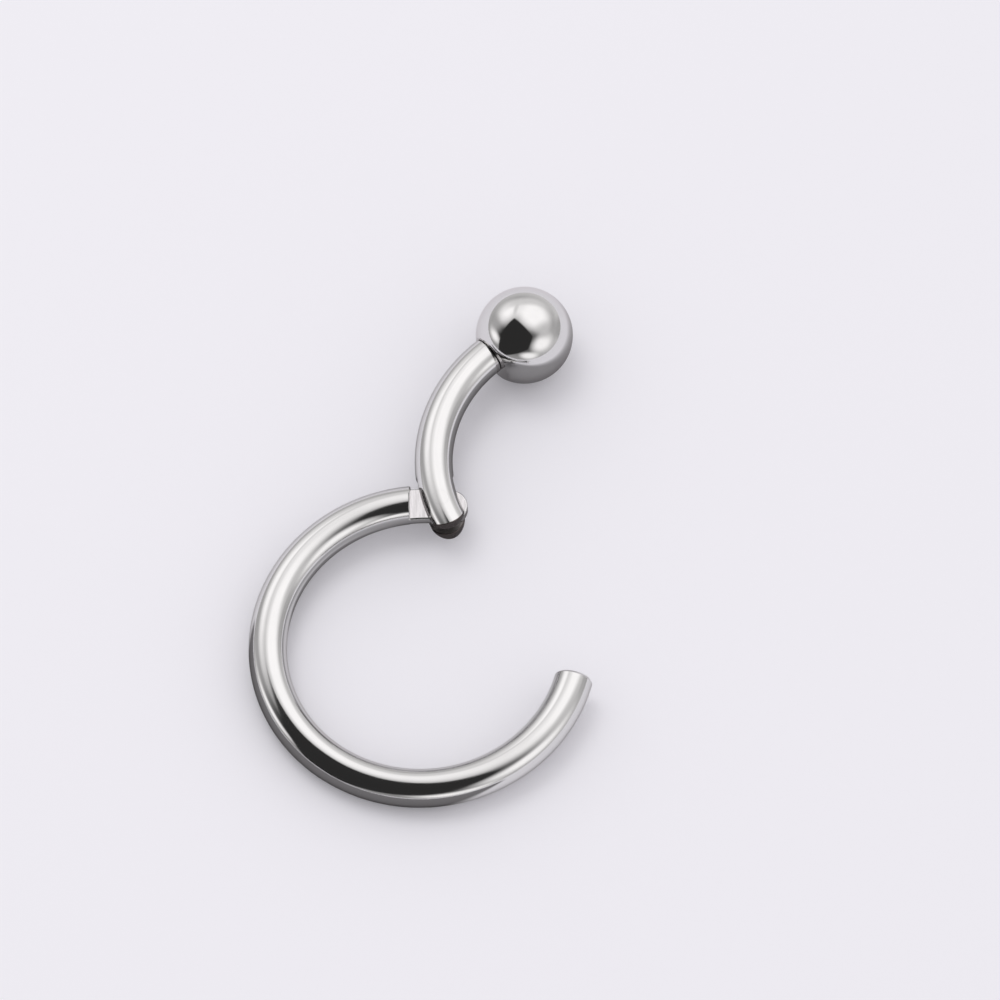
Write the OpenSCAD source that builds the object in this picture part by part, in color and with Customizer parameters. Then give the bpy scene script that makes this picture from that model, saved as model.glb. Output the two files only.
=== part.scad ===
// Hinged septum ring with a ball closure, in polished steel wire.
// A C-shaped hoop carries a flat tongue, a curved arm forks over it on a flush pin,
// and the arm's other end carries the ball that shuts against the hoop's free end.
// Millimetres, +Z up. The ring lies open on a flat surface, with the origin below the middle of its box.
// Places are angles on the closed ring, anticlockwise from the right.

/* [Ring] */
// Diameter of the wire
wire_d = 1.2; // [1:0.05:1.3]
// Clear diameter inside the closed ring
inner_d = 8.5; // [8:0.25:10]
// Angle of the hoop's free end
tip_angle = 345.8; // [342:0.1:347]
// Width of the chamfer round the hoop's free end
tip_chamfer = 0.08; // [0.04:0.01:0.15]

/* [Hinge] */
// Angle of the hinge pin on the ring
pin_angle = 83.4; // [80:0.1:88]
// Diameter of the hinge pin
pin_d = 0.5; // [0.4:0.05:0.6]
// Radial clearance of the pin in the tongue, where it turns
turn_gap = 0.03; // [0.02:0.01:0.05]
// Radial clearance of the pin in the fork, where it is held
hold_gap = 0.01; // [0.005:0.005:0.02]
// Thickness of the hoop's tongue
tongue_t = 0.36; // [0.3:0.02:0.45]
// Clearance between the tongue and each leaf of the fork
side_gap = 0.02; // [0.01:0.01:0.04]
// How far the tongue's outer side is set back from the wire's
tongue_setback = 0.13; // [0.08:0.01:0.18]
// Distance from the pin to the round end of the tongue
tongue_reach = 0.84; // [0.8:0.01:0.9]
// Distance from the pin to the round end of the fork
fork_reach = 0.96; // [0.9:0.01:0.97]
// Distance from the pin to the hoop's shoulder, and to the bottom of the fork's slot
seat_reach = 0.98; // [0.98:0.01:1.05]

/* [Arm and ball] */
// Diameter of the ball
ball_d = 3.1; // [3:0.05:3.4]
// Angle along the ring from the pin to the ball's centre
ball_arc = 84.5; // [82:0.5:85]
// Distance from the ball's centre to the flat seat for the arm
seat_depth = 1.32; // [1.25:0.01:1.4]
// Gap between the arm's end and the ball's seat
seat_gap = 0.01; // [0.005:0.005:0.03]
// Diameter of the spigot that holds the ball
spigot_d = 0.7; // [0.5:0.05:0.8]
// Length of the spigot
spigot_l = 1.1; // [0.8:0.1:1.4]

/* [Pose] */
// How far the arm is turned out from the closed ring
open_angle = 115.1; // [6:0.1:118]

/* [Hidden] */
$fn = 96;
steel = [0.80, 0.80, 0.81];
ball_steel = [0.72, 0.72, 0.73];
pin_steel = [0.66, 0.66, 0.68];

wire_r = wire_d / 2;
ball_r = ball_d / 2;
ring_r = (inner_d + wire_d) / 2;
past = wire_d;
slot_w = tongue_t + 2 * side_gap;
tongue_w = wire_d - tongue_setback;
// A round end is this much wider, on each side, than the piece that it ends, and so crosses its sides
end_ease = 0.01;

// Angle on the ring that a chord of length d spans
function chord_angle(d) = 2 * asin(d / (2 * ring_r));
seat_angle = chord_angle(seat_reach);
tongue_round_angle = chord_angle(tongue_reach - tongue_w / 2 - end_ease);
fork_round_angle = chord_angle(fork_reach - wire_r - end_ease);
past_angle = chord_angle(past);
ball_angle = pin_angle - ball_arc;
arm_end_angle = ball_angle + asin(seat_depth / ring_r);

// Resting pose: the ball and the far side of the hoop touch the surface,
// and the ring rises towards the ball in the direction that puts its weight lowest.
function polar(r, a) = [r * cos(a), r * sin(a)];
function turned(p, a) = [p.x * cos(a) - p.y * sin(a), p.x * sin(a) + p.y * cos(a)];
function opened(p) = pin_pos + turned(p - pin_pos, open_angle);
function arc_volume(a0, a1) = PI * wire_r ^ 2 * ring_r * (a1 - a0) * PI / 180;
function arc_middle(a0, a1) =
    polar(ring_r * sin((a1 - a0) / 2) / ((a1 - a0) / 2 * PI / 180), (a0 + a1) / 2);
pin_pos = polar(ring_r, pin_angle);
ball_pos = opened(polar(ring_r, ball_angle));
hoop_volume = arc_volume(pin_angle, tip_angle);
arm_volume = arc_volume(arm_end_angle, pin_angle);
ball_volume = PI / 6 * ball_d ^ 3;
weight_pos = (hoop_volume * arc_middle(pin_angle, tip_angle)
    + arm_volume * opened(arc_middle(arm_end_angle, pin_angle))
    + ball_volume * ball_pos) / (hoop_volume + arm_volume + ball_volume);
to_weight = weight_pos - ball_pos;
rise_angle = atan2(to_weight.y, to_weight.x) + 180
    + asin((weight_pos.x * ball_pos.y - weight_pos.y * ball_pos.x) / (ring_r * norm(to_weight)));
rise_dir = polar(1, rise_angle);
tilt = asin((ball_r - wire_r) / (ring_r + ball_pos * rise_dir));
lift = wire_r + ring_r * sin(tilt);
outer_r = ring_r + wire_r;
box_mid = [outer_r * (cos(tip_angle) - 1) / 2, (ball_pos.y + ball_r - outer_r) / 2];

// Children at angle a on the closed ring: x points outwards and y anticlockwise along the wire
module on_ring(a) {
    rotate(a) translate([ring_r, 0, 0]) children();
}

// Children stood along the wire at angle a, so that their z runs anticlockwise
module along_wire(a) {
    on_ring(a) rotate([-90, 0, 0]) children();
}

// A stretch of the ring, swept from angle a0 to a1 with the children as its section
module swept(a0, a1) {
    rotate(a0) rotate_extrude(angle = a1 - a0) translate([ring_r, 0]) children();
}

module wire(a0, a1) {
    swept(a0, a1) circle(d = wire_d);
}

// What lies beyond the round end that starts at angle a, clockwise or anticlockwise,
// across a width w from the wire's inner side
module beyond_round(a, clockwise, w = wire_d) {
    on_ring(a) mirror([0, clockwise ? 1 : 0, 0]) difference() {
        translate([-past, 0, -past]) cube([2 * past, 2 * past, 2 * past]);
        translate([w / 2 - wire_r, 0, 0])
            cylinder(h = 3 * past, r = w / 2 + end_ease, center = true);
    }
}

// What lies round the tongue, on the pin's side of a shoulder square to it
module round_tongue() {
    difference() {
        on_ring(pin_angle + seat_angle / 2) translate([-past, seat_reach / 2 - 2 * past, -past])
            cube(2 * past);
        swept(pin_angle - 3 * past_angle, pin_angle + 2 * seat_angle)
            translate([tongue_w - wire_r - 2 * past, -tongue_t / 2]) square([2 * past, tongue_t]);
    }
}

module pin_bore(gap) {
    on_ring(pin_angle) cylinder(h = 2 * past, d = pin_d + 2 * gap, center = true);
}

// The ring that a 45 degree chamfer takes off the wire's end at angle a
module chamfer_ring(a) {
    along_wire(a) translate([0, 0, -2 * tip_chamfer]) difference() {
        cylinder(h = 3 * tip_chamfer, r = wire_r + 2 * tip_chamfer);
        cylinder(h = 3 * tip_chamfer, r1 = wire_r + tip_chamfer, r2 = wire_r - 2 * tip_chamfer);
    }
}

// Turns the arm's pieces out from the closed ring, about the pin
module turned_out() {
    translate(pin_pos) rotate(open_angle) translate(-pin_pos) children();
}

// Lays the ring down on the surface
module resting() {
    translate([-box_mid.x, -box_mid.y, lift])
        rotate(a = -tilt, v = [-rise_dir.y, rise_dir.x, 0]) children();
}

// C-shaped wire with the tongue of the hinge at one end, behind a square shoulder
module hoop() {
    color(steel) resting() difference() {
        wire(pin_angle - past_angle, tip_angle);
        round_tongue();
        beyond_round(pin_angle - tongue_round_angle, true, tongue_w);
        pin_bore(turn_gap);
        chamfer_ring(tip_angle);
    }
}

// Curved wire, forked over the tongue at one end and with the ball's spigot at the other
module arm() {
    color(steel) resting() turned_out() difference() {
        union() {
            wire(arm_end_angle, pin_angle + past_angle);
            along_wire(arm_end_angle) translate([0, 0, -spigot_l])
                cylinder(h = spigot_l + wire_r, d = spigot_d);
        }
        swept(pin_angle - seat_angle, pin_angle + 2 * past_angle)
            square([2 * wire_d, slot_w], center = true);
        beyond_round(pin_angle + fork_round_angle, false);
        pin_bore(hold_gap);
    }
}

// Ball with the flat seat and the hole that take the arm's end
module ball() {
    color(ball_steel) resting() turned_out() difference() {
        on_ring(ball_angle) sphere(d = ball_d);
        along_wire(arm_end_angle) {
            translate([0, 0, -seat_gap]) cylinder(h = ball_r, r = ball_r);
            translate([0, 0, -spigot_l - seat_gap])
                cylinder(h = spigot_l + wire_r, d = spigot_d + 2 * hold_gap);
        }
    }
}

// Hinge pin, ground flush with the wire at both ends
module hinge_pin() {
    color(pin_steel) resting() turned_out() intersection() {
        on_ring(pin_angle) cylinder(h = 2 * past, d = pin_d, center = true);
        wire(pin_angle - seat_angle, pin_angle + seat_angle);
    }
}

hoop();
arm();
ball();
hinge_pin();
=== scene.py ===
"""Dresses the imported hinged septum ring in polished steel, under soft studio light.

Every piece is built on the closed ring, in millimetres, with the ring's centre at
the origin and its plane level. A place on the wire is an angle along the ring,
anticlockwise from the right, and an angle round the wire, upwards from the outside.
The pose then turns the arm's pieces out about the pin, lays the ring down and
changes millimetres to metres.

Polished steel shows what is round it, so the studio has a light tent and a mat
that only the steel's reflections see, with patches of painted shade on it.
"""

import logging
import math
from dataclasses import dataclass
from enum import Enum, IntEnum
from typing import Callable, Iterable, Sequence

import bmesh
import bpy
import numpy as np
from mathutils import Euler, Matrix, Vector


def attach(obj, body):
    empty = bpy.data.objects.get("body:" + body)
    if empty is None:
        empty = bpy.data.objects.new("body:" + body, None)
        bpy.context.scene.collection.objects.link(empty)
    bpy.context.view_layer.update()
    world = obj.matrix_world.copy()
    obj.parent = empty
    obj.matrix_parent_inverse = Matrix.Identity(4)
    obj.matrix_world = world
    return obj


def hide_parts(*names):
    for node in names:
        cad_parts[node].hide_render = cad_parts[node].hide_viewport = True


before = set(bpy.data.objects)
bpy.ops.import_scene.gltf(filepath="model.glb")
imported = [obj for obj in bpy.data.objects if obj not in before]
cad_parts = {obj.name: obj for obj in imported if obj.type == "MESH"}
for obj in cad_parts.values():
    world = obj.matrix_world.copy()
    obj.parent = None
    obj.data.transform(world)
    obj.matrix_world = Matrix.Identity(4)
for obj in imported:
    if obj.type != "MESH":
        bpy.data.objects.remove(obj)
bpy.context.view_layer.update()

log = logging.getLogger("septum_ring")
MM = 0.001
# Points closer than this many millimetres are joined
WELD = 1e-4
# Edges that turn by more than this are rounded
SHARP = math.radians(35)
# Takes the height out of a point, so that only its place in plan is left
PLAN = np.array([1.0, 1.0, 0.0])
Points = np.ndarray
Material = bpy.types.Material
Object = bpy.types.Object


class Surface(IntEnum):
    """The kinds of surface on the pieces, which set their normals and their finish.

    Attributes:
        WIRE: The round of the wire.
        FLAT: A flat that the cutter leaves.
        ROUND_END: The upright round end of the tongue or of the fork.
        BORE: The wall of a hole, and the pin's side.
        TURNED: The cut and the chamfer at the hoop's free end.
        BALL: The round of the ball.
        WALL: The tongue's outer side.
        BREAK: A rounded edge.
        END_BREAK: A rounded edge at the fork's round end, which takes the end's painted shade.
    """

    WIRE = 0
    FLAT = 1
    ROUND_END = 2
    BORE = 3
    TURNED = 4
    BALL = 5
    WALL = 6
    BREAK = 7
    END_BREAK = 8


class Body(Enum):
    """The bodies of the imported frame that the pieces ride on."""

    HOOP = "hoop_body"
    ARM = "arm_body"


def math_node(operation: str, swapped: bool = False) -> "Callable[..., Value]":
    """Makes the method of Value that adds one kind of Math node.

    Args:
        operation: The Math node's operation.
        swapped: Whether the Value is the node's second input, as in 1 - mask.

    Returns:
        A method that takes the node's other inputs and returns its result.
    """

    def method(self: "Value", *others: "Value | float") -> "Value":
        """Adds the node, with this Value and the others as its inputs.

        Args:
            others: The node's other inputs.

        Returns:
            The result.
        """
        operands = (*others, self) if swapped else (self, *others)
        node = self.tree.add("ShaderNodeMath", {"operation": operation}, dict(enumerate(operands)))
        return Value(self.tree, node.outputs[0])

    return method


class Value:
    """A number's socket in a node tree. Arithmetic on it adds Math nodes."""

    def __init__(self, tree: "Nodes", socket: bpy.types.NodeSocket) -> None:
        """Wraps an output socket that carries a number, and the tree that it is in."""
        self.tree = tree
        self.socket = socket

    __add__ = __radd__ = math_node("ADD")
    __sub__, __rsub__ = math_node("SUBTRACT"), math_node("SUBTRACT", swapped=True)
    __mul__ = __rmul__ = math_node("MULTIPLY")
    __truediv__, __rtruediv__ = math_node("DIVIDE"), math_node("DIVIDE", swapped=True)
    floor, sqrt = math_node("FLOOR"), math_node("SQRT")
    cos, sin, asin = math_node("COSINE"), math_node("SINE"), math_node("ARCSINE")
    at_least, at_most = math_node("MAXIMUM"), math_node("MINIMUM")

    def fade(self, low: float, high: float) -> "Value":
        """Rises smoothly from 0 at low to 1 at high, or falls where low is above high."""
        t = ((self - low) / (high - low)).at_least(0.0).at_most(1.0)
        return t * t * (3.0 - 2.0 * t)


class Nodes:
    """Adds nodes to one node tree."""

    def __init__(self, tree: bpy.types.NodeTree) -> None:
        """Starts on a tree, whose nodes are cleared."""
        self.tree = tree
        tree.nodes.clear()

    def add(self, kind: str, settings: dict | None = None, inputs: dict | None = None) -> bpy.types.Node:
        """Adds a node, gives it its settings, then fills or links its sockets.

        Args:
            kind: The node's type.
            settings: The node's own properties.
            inputs: A value, a Value or an output socket for each input, by name or place.

        Returns:
            The node.
        """
        node = self.tree.nodes.new(kind)
        for key, setting in (settings or {}).items():
            setattr(node, key, setting)
        for key, given in (inputs or {}).items():
            if isinstance(given, Value):
                given = given.socket
            if isinstance(given, bpy.types.NodeSocket):
                self.tree.links.new(given, node.inputs[key])
            else:
                node.inputs[key].default_value = given
        return node

    def value(self, node: bpy.types.Node, output: str | int = 0) -> Value:
        """One of a node's outputs as a Value."""
        return Value(self, node.outputs[output])

    def vector(self, operation: str, *operands: object) -> bpy.types.Node:
        """Adds one Vector Math node, with its inputs in order."""
        return self.add("ShaderNodeVectorMath", {"operation": operation}, dict(enumerate(operands)))

    def dot(self, vector: bpy.types.NodeSocket, direction: Sequence[float]) -> Value:
        """The dot product of a vector socket and a fixed direction."""
        return self.value(self.vector("DOT_PRODUCT", vector, tuple(direction)), "Value")

    def surface(self, shader: str, inputs: dict, output: str = "ShaderNodeOutputMaterial") -> None:
        """Ends the tree in a shader, with what fills its inputs, and the output that it feeds."""
        self.add(output, None, {"Surface": self.add(shader, None, inputs).outputs[0]})


def new_material(name: str) -> tuple[Material, Nodes]:
    """Makes a material with an empty tree.

    Args:
        name: Its name.

    Returns:
        The material, and what adds its nodes.
    """
    material = bpy.data.materials.new(name)
    material.use_nodes = True
    return material, Nodes(material.node_tree)


def new_object(name: str, data: bpy.types.ID) -> Object:
    """Adds an object to the scene.

    Args:
        name: Its name.
        data: The mesh, lamp or camera that it shows.

    Returns:
        The object.
    """
    made = bpy.data.objects.new(name, data)
    bpy.context.scene.collection.objects.link(made)
    return made


def read(items: bpy.types.bpy_prop_collection, attribute: str, width: int = 1,
         kind: type = np.int64) -> Points:
    """Reads one attribute of all the points, corners or faces of a mesh.

    Args:
        items: The mesh's collection.
        attribute: The attribute's name.
        width: How many numbers each item has.
        kind: The kind of number.

    Returns:
        The numbers, one row for each item where it has more than one.
    """
    numbers = np.empty(len(items) * width, kind)
    items.foreach_get(attribute, numbers)
    return numbers.reshape(-1, width) if width > 1 else numbers


@dataclass(frozen=True)
class Ring:
    """The sizes that all the pieces share, in millimetres and degrees, and the resting pose.

    Attributes:
        wire_d: Diameter of the wire.
        inner_d: Clear diameter inside the closed ring.
        tip_angle: Place of the hoop's free end.
        pin_angle: Place of the hinge pin.
        pin_d: Diameter of the pin.
        seat_reach: Distance from the pin to the hoop's shoulder, and to the bottom of the fork's slot.
        end_ease: How much wider a round end is, on each side, than the piece that it ends.
        ball_d: Diameter of the ball.
        ball_arc: Angle along the ring from the pin to the ball's centre.
        seat_depth: Distance from the ball's centre to the end of the arm's wire.
        open_angle: How far the arm is turned out from the closed ring.
    """

    wire_d: float = 1.2
    inner_d: float = 8.5
    tip_angle: float = 345.8
    pin_angle: float = 83.4
    pin_d: float = 0.5
    seat_reach: float = 0.98
    end_ease: float = 0.01
    ball_d: float = 3.1
    ball_arc: float = 84.5
    seat_depth: float = 1.32
    open_angle: float = 115.1

    @property
    def wire_r(self) -> float:
        """Radius of the wire."""
        return self.wire_d / 2

    @property
    def ball_r(self) -> float:
        """Radius of the ball."""
        return self.ball_d / 2

    @property
    def ring_r(self) -> float:
        """Radius of the wire's centre line."""
        return (self.inner_d + self.wire_d) / 2

    @property
    def ball_angle(self) -> float:
        """Place of the ball's centre along the closed ring."""
        return self.pin_angle - self.ball_arc

    @property
    def arm_end_angle(self) -> float:
        """Place of the arm's end in the ball."""
        return self.ball_angle + math.degrees(math.asin(self.seat_depth / self.ring_r))

    def chord_angle(self, distance: float) -> float:
        """Angle along the ring, in degrees, that a chord of a length spans."""
        return math.degrees(2 * math.asin(distance / (2 * self.ring_r)))

    def at(self, along: Points | float, out: Points | float, height: Points | float) -> Points:
        """Points by their degrees along the ring, distance from its axis and height."""
        a, r, z = np.broadcast_arrays(np.radians(along), out, height)
        return np.stack([r * np.cos(a), r * np.sin(a), z], -1)

    def middle(self, along: float) -> Points:
        """The point on the centre line at an angle."""
        return self.at(along, self.ring_r, 0.0)

    def out(self, around: Points | float) -> Points:
        """Distance of the wire's surface from the ring's axis, by the angle round the wire."""
        return self.ring_r + self.wire_r * np.cos(np.radians(around))

    def shoulder(self, out: Points | float) -> Points:
        """Place of the hoop's square shoulder, by the distance from the ring's axis."""
        middle = self.pin_angle + self.chord_angle(self.seat_reach) / 2
        return middle + np.degrees(np.arcsin(self.seat_reach / 2 / out))

    @staticmethod
    def crossing(out: Points | float, axis_out: float, radius: float) -> Points:
        """Degrees from an upright cylinder's axis to where circles of radius out cross its wall."""
        return np.degrees(np.arccos((out ** 2 + axis_out ** 2 - radius ** 2) / (2 * out * axis_out)))

    def on_wire(self, along: Points | float, around: Points | float,
                radius: float | None = None) -> Points:
        """Points on the wire's round surface.

        Args:
            along: Angles along the ring, in degrees.
            around: Angles round the wire, in degrees.
            radius: Distance from the centre line, or the wire's own.

        Returns:
            The points, with the shape that the two angles broadcast to.
        """
        s = np.radians(around)
        r = self.wire_r if radius is None else radius
        return self.at(along, self.ring_r + r * np.cos(s), r * np.sin(s))

    def local(self, along: float, points: Points) -> Points:
        """Moves points to the ring's frame from one on the wire, x outwards and y anticlockwise."""
        return turned(points + np.array([self.ring_r, 0.0, 0.0]), along)

    def raised(self, points: Points, sign: float) -> Points:
        """Moves points straight up or down to the wire's surface.

        Args:
            points: Points within the wire's width.
            sign: 1 for its upper side, -1 for its lower.

        Returns:
            The points on the surface.
        """
        across = np.hypot(points[..., 0], points[..., 1]) - self.ring_r
        height = np.sqrt(np.maximum(self.wire_r ** 2 - across ** 2, 0.0))
        return points * PLAN + height[..., None] * (0.0, 0.0, sign)

    def rod(self, points: Points) -> Points:
        """Straightens the ring into a rod along x, for the marks on it.

        Args:
            points: Points in the ring's frame.

        Returns:
            The points with the ring straightened.
        """
        along = np.arctan2(points[:, 1], points[:, 0]) % (2 * math.pi)
        across = np.hypot(points[:, 0], points[:, 1]) - self.ring_r
        return np.stack([along * self.ring_r, across, points[:, 2]], -1)

    def turn_out(self, points: Points) -> Points:
        """Turns points of the arm out from the closed ring, about the pin."""
        pin = self.middle(self.pin_angle)
        return turned(points - pin, self.open_angle) + pin

    def resting(self) -> tuple[Points, Points]:
        """The pose in which the ball and the hoop's far side touch the floor.

        Returns:
            The rotation that lays the ring down, and the shift after it.
        """

        def arc(a0: float, a1: float) -> tuple[float, Points]:
            """Volume and middle of a stretch of wire.

            Args:
                a0: The angle along the ring where it starts.
                a1: The angle where it ends.

            Returns:
                The two.
            """
            half = math.radians(a1 - a0) / 2
            volume = math.pi * self.wire_r ** 2 * self.ring_r * 2 * half
            return volume, self.middle((a0 + a1) / 2) * math.sin(half) / half

        hoop_volume, hoop_middle = arc(self.pin_angle, self.tip_angle)
        arm_volume, arm_middle = arc(self.arm_end_angle, self.pin_angle)
        ball_volume = math.pi / 6 * self.ball_d ** 3
        ball = self.turn_out(self.middle(self.ball_angle))
        moment = hoop_volume * hoop_middle + arm_volume * self.turn_out(arm_middle) + ball_volume * ball
        weight = moment / (hoop_volume + arm_volume + ball_volume)
        # The ring rises towards the ball in the direction that puts its weight lowest
        to_weight = weight - ball
        lever = (weight[0] * ball[1] - weight[1] * ball[0]) / math.hypot(to_weight[0], to_weight[1])
        rise = math.atan2(to_weight[1], to_weight[0]) + math.pi + math.asin(lever / self.ring_r)
        rise_dir = np.array([math.cos(rise), math.sin(rise), 0.0])
        tilt = math.asin((self.ball_r - self.wire_r) / (self.ring_r + ball @ rise_dir))
        outer_r = self.ring_r + self.wire_r
        shift = np.array([
            -outer_r * (cos_sin(self.tip_angle)[0] - 1) / 2,
            -(ball[1] + self.ball_r - outer_r) / 2,
            self.wire_r + self.ring_r * math.sin(tilt)])
        level = np.array([-rise_dir[1], rise_dir[0], 0.0])
        cross = np.array([[0, 0, level[1]], [0, 0, -level[0]], [-level[1], level[0], 0]])
        c, s = math.cos(tilt), math.sin(tilt)
        return c * np.eye(3) - s * cross + (1 - c) * np.outer(level, level), shift


def cos_sin(degrees: float) -> tuple[float, float]:
    """Cosine and sine of an angle in degrees."""
    return math.cos(math.radians(degrees)), math.sin(math.radians(degrees))


def steps(start: Points | float, end: Points | float, count: int) -> Points:
    """The count + 1 values that split a stretch into equal steps."""
    return np.linspace(start, end, count + 1)


def turned(points: Points, angle: float) -> Points:
    """Turns points anticlockwise about the z axis, by an angle in degrees."""
    c, s = cos_sin(angle)
    return points @ np.array([[c, s, 0.0], [-s, c, 0.0], [0.0, 0.0, 1.0]])


def unit(vectors: Points) -> Points:
    """The vectors, each with a length of 1."""
    return vectors / np.maximum(np.linalg.norm(vectors, axis=-1, keepdims=True), 1e-12)


def closed(loop: Points) -> Points:
    """The loop with its first point again at its end."""
    return np.concatenate([loop, loop[:1]])


NormalRule = Callable[[Points], Points]


class Skin:
    """A closed skin that is put together from sheets of faces, in millimetres."""

    def __init__(self, ring: Ring) -> None:
        """Starts an empty skin.

        Args:
            ring: The ring that the piece belongs to.
        """
        self.ring = ring
        self.bm = bmesh.new()
        self.rules: dict[Surface, NormalRule] = {Surface.WIRE: self._from_centre_line}

    def _from_centre_line(self, points: Points) -> Points:
        """Normals of the wire's round surface."""
        middle = unit(points * PLAN) * self.ring.ring_r
        return unit(points - middle)

    def upright(self, surface: Surface, axis_at: Points) -> None:
        """Gives a surface the normals of an upright cylinder, whose axis runs through a point."""
        self.rules[surface] = lambda points: unit((points - axis_at) * PLAN)

    def mesh(self, mesh: bpy.types.Mesh) -> None:
        """Adds a baked mesh of the wire's round surface, and deletes it."""
        self.bm.from_mesh(mesh)
        bpy.data.meshes.remove(mesh)

    def sheet(self, points: Points, surface: Surface,
              holes: Iterable[tuple[int, int, int, int]] = ()) -> None:
        """Adds a grid of four-sided faces.

        Args:
            points: The grid's points, rows by columns.
            surface: The kind of surface.
            holes: Blocks to leave out, each first row, last row, first column, last column.
        """
        rows, columns = points.shape[:2]
        verts = [[self.bm.verts.new(p) for p in row] for row in points]
        for i in range(rows - 1):
            for j in range(columns - 1):
                if any(r0 <= i < r1 and c0 <= j < c1 for r0, r1, c0, c1 in holes):
                    continue
                face = self.bm.faces.new((
                    verts[i][j], verts[i][j + 1], verts[i + 1][j + 1], verts[i + 1][j]))
                face.material_index = surface

    def plate(self, outline: Points, surface: Surface = Surface.FLAT) -> None:
        """Adds one flat face, from the points round it."""
        face = self.bm.faces.new([self.bm.verts.new(p) for p in outline])
        face.material_index = surface

    def weld(self) -> None:
        """Joins the sheets where they touch, and points all faces outwards."""
        loose = [v for v in self.bm.verts if not v.link_faces]
        bmesh.ops.delete(self.bm, geom=loose, context="VERTS")
        bmesh.ops.remove_doubles(self.bm, verts=self.bm.verts, dist=WELD)
        bmesh.ops.dissolve_degenerate(self.bm, edges=self.bm.edges, dist=WELD)
        bmesh.ops.recalc_face_normals(self.bm, faces=self.bm.faces)

    def break_edges(self, width: float, only: Iterable[Surface], spare: Iterable[Surface] = (),
                    segments: int = 3) -> None:
        """Rounds the sharp outer edges, as polishing does.

        Args:
            width: How far the rounding reaches from the edge.
            only: Each rounded edge has a face of one of these kinds.
            spare: No rounded edge has a face of one of these kinds.
            segments: Number of faces across the rounding.
        """
        wanted, spared = set(only), set(spare)
        edges = []
        for edge in self.bm.edges:
            if edge.is_manifold and edge.calc_face_angle_signed() > SHARP:
                kinds = {Surface(f.material_index) for f in edge.link_faces}
                if kinds & wanted and not kinds & spared:
                    edges.append(edge)
        bmesh.ops.bevel(
            self.bm, geom=edges, offset=width, offset_type="OFFSET", segments=segments, profile=0.5,
            affect="EDGES", clamp_overlap=False, loop_slide=True, material=int(Surface.BREAK))

    def recast(self, old: Surface, new: Surface, beyond: float) -> None:
        """Gives another kind to the faces of one kind that lie past a place along the ring.

        Args:
            old: Their kind.
            new: The kind that they get.
            beyond: The place, in degrees along the ring.
        """
        for face in self.bm.faces:
            x, y, _ = face.calc_center_median()
            if face.material_index == old and math.degrees(math.atan2(y, x)) > beyond:
                face.material_index = new

    def _corner_normals(self, mesh: bpy.types.Mesh, points: Points) -> Points:
        """A normal for each face corner, exact on the surfaces that have a rule.

        Args:
            mesh: The finished mesh, before its surfaces are given materials.
            points: Its points.

        Returns:
            One normal for each corner.
        """
        corners = read(mesh.loops, "vertex_index")
        counts = read(mesh.polygons, "loop_total")
        face_normals = np.repeat(read(mesh.polygons, "normal", 3, float), counts, axis=0)
        weight = np.repeat(read(mesh.polygons, "area", kind=float), counts)[:, None]
        kind_of = np.repeat(read(mesh.polygons, "material_index"), counts)
        normals = face_normals.copy()
        for surface, rule in self.rules.items():
            mine = kind_of == surface
            exact = rule(points[corners[mine]])
            facing = np.sign((exact * face_normals[mine]).sum(-1, keepdims=True))
            normals[mine] = exact * np.where(facing == 0, 1, facing)
        broken = np.isin(kind_of, (Surface.BREAK, Surface.END_BREAK))
        summed = np.zeros((len(points), 3))
        np.add.at(summed, corners[broken], (face_normals * weight)[broken])
        own = np.zeros((len(points), 3))
        np.add.at(own, corners[~broken], normals[~broken])
        has_own = np.linalg.norm(own, axis=1) > 1e-6
        at = corners[broken]
        normals[broken] = np.where(has_own[at][:, None], unit(own[at]), unit(summed[at]))
        return normals

    def finish(self, name: str, opened: bool, main: Material,
               others: dict[Surface, Material] | None = None) -> Object:
        """Makes the object, in its place and in metres.

        Args:
            name: The object's name.
            opened: Whether the piece turns out with the arm.
            main: The finish of every surface that has none of its own.
            others: The surfaces that have their own finish.

        Returns:
            The object, at the origin, with its place in its mesh.
        """
        self.weld()
        mesh = bpy.data.meshes.new(name)
        self.bm.to_mesh(mesh)
        self.bm.free()
        points = read(mesh.vertices, "co", 3, float)
        normals = self._corner_normals(mesh, points)
        rod = mesh.attributes.new("rod", "FLOAT_VECTOR", "POINT")
        rod.data.foreach_set("vector", self.ring.rod(points).astype(np.float32).ravel())
        mesh.materials.append(main)
        slots = np.zeros(len(Surface), np.int32)
        for surface, material in (others or {}).items():
            if material.name not in mesh.materials:
                mesh.materials.append(material)
            slots[surface] = mesh.materials.find(material.name)
        mesh.polygons.foreach_set("material_index", slots[read(mesh.polygons, "material_index")])
        mesh.polygons.foreach_set("use_smooth", np.ones(len(mesh.polygons), bool))
        if opened:
            points = self.ring.turn_out(points)
            normals = turned(normals, self.ring.open_angle)
        rotation, shift = self.ring.resting()
        mesh.vertices.foreach_set("co", ((points @ rotation.T + shift) * MM).astype(np.float32).ravel())
        mesh.update()
        mesh.normals_split_custom_set((normals @ rotation.T).tolist())
        return new_object(name, mesh)


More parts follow.
